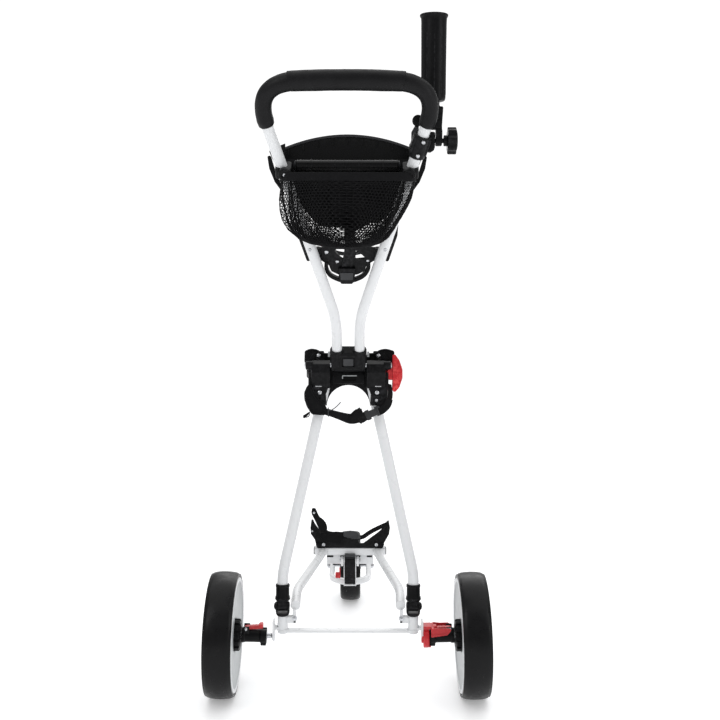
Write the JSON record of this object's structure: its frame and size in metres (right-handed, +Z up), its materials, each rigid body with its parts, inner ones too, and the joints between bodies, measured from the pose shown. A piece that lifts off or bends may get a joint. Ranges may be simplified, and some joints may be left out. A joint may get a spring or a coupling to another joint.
{
  "type": "golf push trolley",
  "caption": "Folding golf push trolley: white tube frame, foam grip, console with net bag, bag rests with straps, quick-release wheels, umbrella holder.",
  "frame": {"origin": "on the ground, at the middle of the trolley's bounding box in plan", "axes": "+Z up, +Y the way the trolley is pushed, +X to the golfer's right"},
  "size_m": [0.5404, 0.9428, 1.241],
  "materials": {
    "white_tube": "satin white powder coat on steel or alloy tube",
    "steel": "zinc plated",
    "black_plastic": "fine textured moulding",
    "grip_foam": "closed cell foam, smooth skin",
    "net": "knitted hexagonal mesh",
    "webbing": "woven webbing",
    "tyre": "smooth low profile tread",
    "grey_rim": "satin light grey disc",
    "red_plastic": "semi gloss red moulding"
  },
  "bodies": {
    "base": {"base_tube_left": "white_tube", "base_tube_right": "white_tube", "crossbar": "white_tube", "axle_frame": "white_tube", "foot_clevis_left": "black_plastic", "foot_clevis_right": "black_plastic", "foot_pin_left": "steel", "foot_pin_right": "steel", "axle_left": "steel", "axle_right": "steel", "axle_housing_left": "black_plastic", "axle_housing_right": "black_plastic", "lock_collar_right": "red_plastic", "fork_bracket": "white_tube", "fork_pin": "steel", "lower_bag_rest": "black_plastic", "lower_pad": "webbing"},
    "wheel_left": {"rear_tyre_left": "tyre", "rear_rim_left": "grey_rim", "hub_disc_left": "black_plastic", "bearing_left": "steel"},
    "wheel_right": {"rear_tyre_right": "tyre", "rear_rim_right": "grey_rim", "hub_disc_right": "black_plastic", "bearing_right": "steel"},
    "lever_left": {"release_lever_left": "red_plastic"},
    "lever_right": {"release_lever_right": "red_plastic"},
    "catch": {"fork_catch": "red_plastic"},
    "fork": {"fork_arm": "white_tube", "arm_cover": "black_plastic", "fork_loop": "white_tube", "front_axle": "steel"},
    "front_wheel": {"front_tyre": "tyre", "front_rim": "grey_rim", "front_bush": "steel"},
    "mast": {"upright_left": "white_tube", "upright_right": "white_tube", "foot_left": "black_plastic", "foot_right": "black_plastic", "middle_bracket": "black_plastic", "hinge_pin": "steel", "middle_bag_rest": "black_plastic", "bag_strap": "webbing", "strap_buckle": "black_plastic", "strap_pad": "webbing"},
    "latch": {"latch_handle": "red_plastic"},
    "handle": {"handle_tube_left": "white_tube", "handle_tube_right": "white_tube", "grip_foam": "grip_foam", "socket_block": "black_plastic", "console_clamp_left": "black_plastic", "console_clamp_right": "black_plastic", "console_tray": "black_plastic", "net_bag": "net", "upper_bag_rest": "black_plastic", "umbrella_clamp_front": "black_plastic", "umbrella_clamp_back": "black_plastic"},
    "umbrella": {"umbrella_arm": "black_plastic", "umbrella_tube": "black_plastic"},
    "knob": {"umbrella_knob": "black_plastic"}
  },
  "joints": [
    {"name": "frame_fold", "type": "hinge", "parent": "base", "child": "mast", "pos_m": [0, -0.1724, 0.177], "axis": [-1, 0, 0], "range_deg": [0, 60]},
    {"name": "handle_fold", "type": "hinge", "parent": "mast", "child": "handle", "pos_m": [0, -0.1369, 0.63992], "axis": [1, 0, 0], "range_deg": [0, 120]},
    {"name": "latch_pull", "type": "slide", "parent": "mast", "child": "latch", "axis": [1, 0, 0], "range_m": [0, 0.012], "stiffness_N_per_m": 600, "springref_m": -0.004},
    {"name": "fork_fold", "type": "hinge", "parent": "base", "child": "fork", "pos_m": [0, 0.2276, 0.143], "axis": [-1, 0, 0], "range_deg": [0, 150]},
    {"name": "catch_press", "type": "hinge", "parent": "base", "child": "catch", "pos_m": [-0.024, 0.2336, 0.125], "axis": [-1, 0, 0], "range_deg": [0, 18], "stiffness_Nm_per_rad": 0.6, "springref_deg": -5.73},
    {"name": "front_wheel_spin", "type": "hinge", "parent": "fork", "child": "front_wheel", "pos_m": [0, 0.3876, 0.084], "axis": [1, 0, 0], "continuous": true},
    {"name": "wheel_spin_left", "type": "hinge", "parent": "base", "child": "wheel_left", "pos_m": [-0.24047, -0.1724, 0.12], "axis": [-0.9997, 0, 0.024], "continuous": true},
    {"name": "wheel_spin_right", "type": "hinge", "parent": "base", "child": "wheel_right", "pos_m": [0.24047, -0.1724, 0.12], "axis": [0.9997, 0, 0.024], "continuous": true},
    {"name": "lever_lift_left", "type": "hinge", "parent": "base", "child": "lever_left", "pos_m": [-0.19662, -0.1724, 0.13435], "axis": [0, -1, 0], "range_deg": [0, 28], "stiffness_Nm_per_rad": 0.05, "springref_deg": -11.46},
    {"name": "lever_lift_right", "type": "hinge", "parent": "base", "child": "lever_right", "pos_m": [0.19662, -0.1724, 0.13435], "axis": [0, 1, 0], "range_deg": [0, 35], "stiffness_Nm_per_rad": 0.05, "springref_deg": -11.46},
    {"name": "umbrella_tilt", "type": "hinge", "parent": "handle", "child": "umbrella", "pos_m": [0.1515, -0.3844, 1.04], "axis": [-1, 0, 0], "range_deg": [0, 80]},
    {"name": "knob_turn", "type": "hinge", "parent": "umbrella", "child": "knob", "pos_m": [0.1515, -0.3844, 1.04], "axis": [1, 0, 0], "continuous": true}
  ]
}
